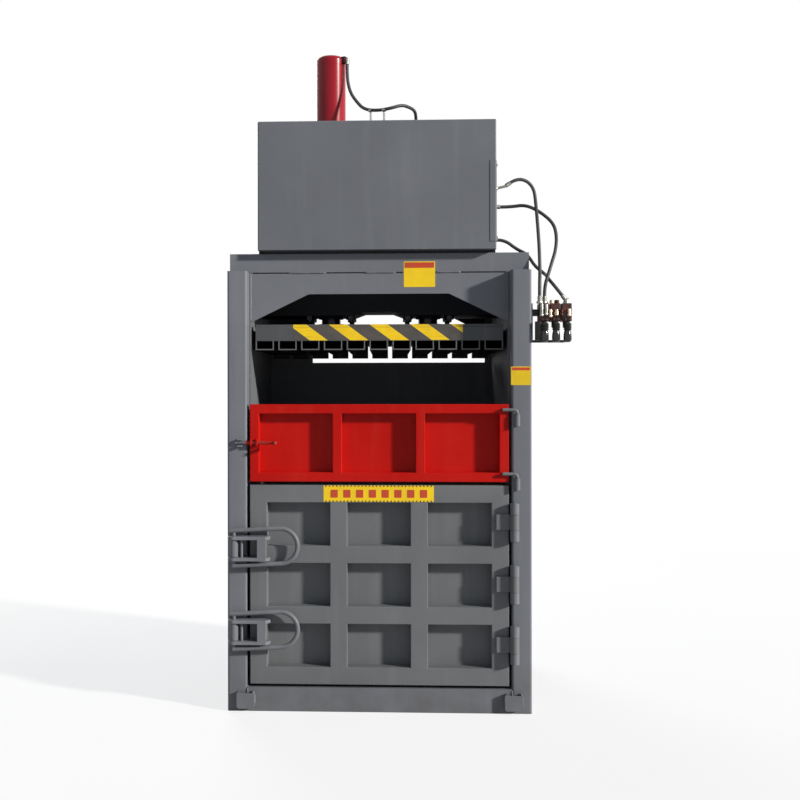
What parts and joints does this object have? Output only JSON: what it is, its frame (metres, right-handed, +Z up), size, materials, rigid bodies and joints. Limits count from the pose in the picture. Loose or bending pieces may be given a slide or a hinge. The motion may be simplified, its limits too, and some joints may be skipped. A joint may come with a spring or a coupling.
{
  "type": "recycling baler",
  "caption": "Upright hydraulic baler: box frame, ram platen, red feed door over a grey latched bale door, power pack under a sheet cover, side valve levers.",
  "frame": {"origin": "on the floor at the centre of the frame's footprint", "axes": "+Z up along the cylinder, -Y out of the front doors, +X to the hinge side on the right"},
  "size_m": [1.471, 1.025, 2.938],
  "materials": {
    "grey_paint": "satin grey enamel",
    "chamber_paint": "dull dark grey",
    "door_red": "satin red enamel",
    "cylinder_red": "gloss crimson enamel",
    "rod_chrome": "ground chrome",
    "bare_steel": "turned steel",
    "dark_steel": "blackened steel",
    "zinc": "yellow zinc plate",
    "hose_rubber": "smooth rubber",
    "valve_cast": "oiled casting",
    "grip_plastic": "moulded grip",
    "motor_paint": "machine enamel"
  },
  "bodies": {
    "frame": {"base_frame": "grey_paint", "floor_plate": "chamber_paint", "floor_bars": "chamber_paint", "front_column_left": "grey_paint", "front_column_right": "grey_paint", "rear_columns": "grey_paint", "side_wall_left": "grey_paint", "side_wall_right": "grey_paint", "rear_wall": "grey_paint", "top_front_beam": "grey_paint", "top_rear_beam": "grey_paint", "top_side_beams": "grey_paint", "header_panel": "grey_paint", "crosshead": "chamber_paint", "cylinder_head": "chamber_paint", "cylinder_barrel": "cylinder_red", "cylinder_cap": "cylinder_red", "cylinder_port": "dark_steel", "guide_sleeve": "chamber_paint", "flange_bolts": "dark_steel", "bale_door_hinges": "grey_paint", "feed_door_sleeves": "grey_paint", "door_keepers": "grey_paint", "cover_plinth": "grey_paint", "cover_shell": "grey_paint", "service_panel": "grey_paint", "oil_tank": "grey_paint", "pump_motor": "motor_paint", "hydraulic_pump": "motor_paint", "bulkhead_unions": "zinc", "hose_clips": "dark_steel", "hose_cylinder": "hose_rubber", "hose_upper": "hose_rubber", "hose_middle": "hose_rubber", "hose_lower": "hose_rubber", "valve_body": "valve_cast", "valve_fittings": "zinc", "valve_bracket": "grey_paint"},
    "platen": {"piston_rod": "rod_chrome", "piston": "bare_steel", "guide_rod": "rod_chrome", "platen_plate": "chamber_paint", "platen_channels": "grey_paint", "platen_front_beam": "grey_paint", "platen_ribs": "chamber_paint", "rod_seats": "chamber_paint"},
    "bale_door": {"bale_door_frame": "grey_paint", "bale_door_skin": "grey_paint", "bale_door_leaves": "grey_paint", "latch_brackets": "grey_paint"},
    "feed_door": {"feed_door_frame": "door_red", "feed_door_skin": "door_red", "feed_door_rods": "grey_paint", "bolt_guides": "door_red"},
    "feed_bolt": {"feed_door_bolt": "door_red"},
    "lower_latch": {"lower_latch": "grey_paint"},
    "upper_latch": {"upper_latch": "grey_paint"},
    "lever_1": {"valve_lever_1": "grip_plastic"},
    "lever_2": {"valve_lever_2": "grip_plastic"},
    "lever_3": {"valve_lever_3": "grip_plastic"}
  },
  "joints": [
    {"name": "platen_stroke", "type": "slide", "parent": "frame", "child": "platen", "axis": [0, 0, -1], "range_m": [0, 0.6]},
    {"name": "bale_door_hinge", "type": "hinge", "parent": "frame", "child": "bale_door", "pos_m": [0.575, -0.5, 0.552], "axis": [0, 0, 1], "range_deg": [0, 170]},
    {"name": "feed_door_hinge", "type": "hinge", "parent": "frame", "child": "feed_door", "pos_m": [0.587, -0.493, 1.15], "axis": [0, 0, 1], "range_deg": [0, 170]},
    {"name": "feed_bolt_slide", "type": "slide", "parent": "feed_door", "child": "feed_bolt", "axis": [1, 0, 0], "range_m": [0, 0.07]},
    {"name": "lower_latch_swing", "type": "hinge", "parent": "bale_door", "child": "lower_latch", "pos_m": [-0.6175, -0.513, 0.348], "axis": [0, 0, -1], "range_deg": [0, 150]},
    {"name": "upper_latch_swing", "type": "hinge", "parent": "bale_door", "child": "upper_latch", "pos_m": [-0.6175, -0.513, 0.703], "axis": [0, 0, -1], "range_deg": [0, 150]},
    {"name": "lever_1_tilt", "type": "hinge", "parent": "frame", "child": "lever_1", "pos_m": [0.704, -0.484, 1.674], "axis": [1, 0, 0], "range_deg": [-15, 15], "stiffness_Nm_per_rad": 3},
    {"name": "lever_2_tilt", "type": "hinge", "parent": "frame", "child": "lever_2", "pos_m": [0.752, -0.484, 1.674], "axis": [1, 0, 0], "range_deg": [-15, 15], "stiffness_Nm_per_rad": 3},
    {"name": "lever_3_tilt", "type": "hinge", "parent": "frame", "child": "lever_3", "pos_m": [0.8, -0.484, 1.674], "axis": [1, 0, 0], "range_deg": [-15, 15], "stiffness_Nm_per_rad": 3}
  ]
}
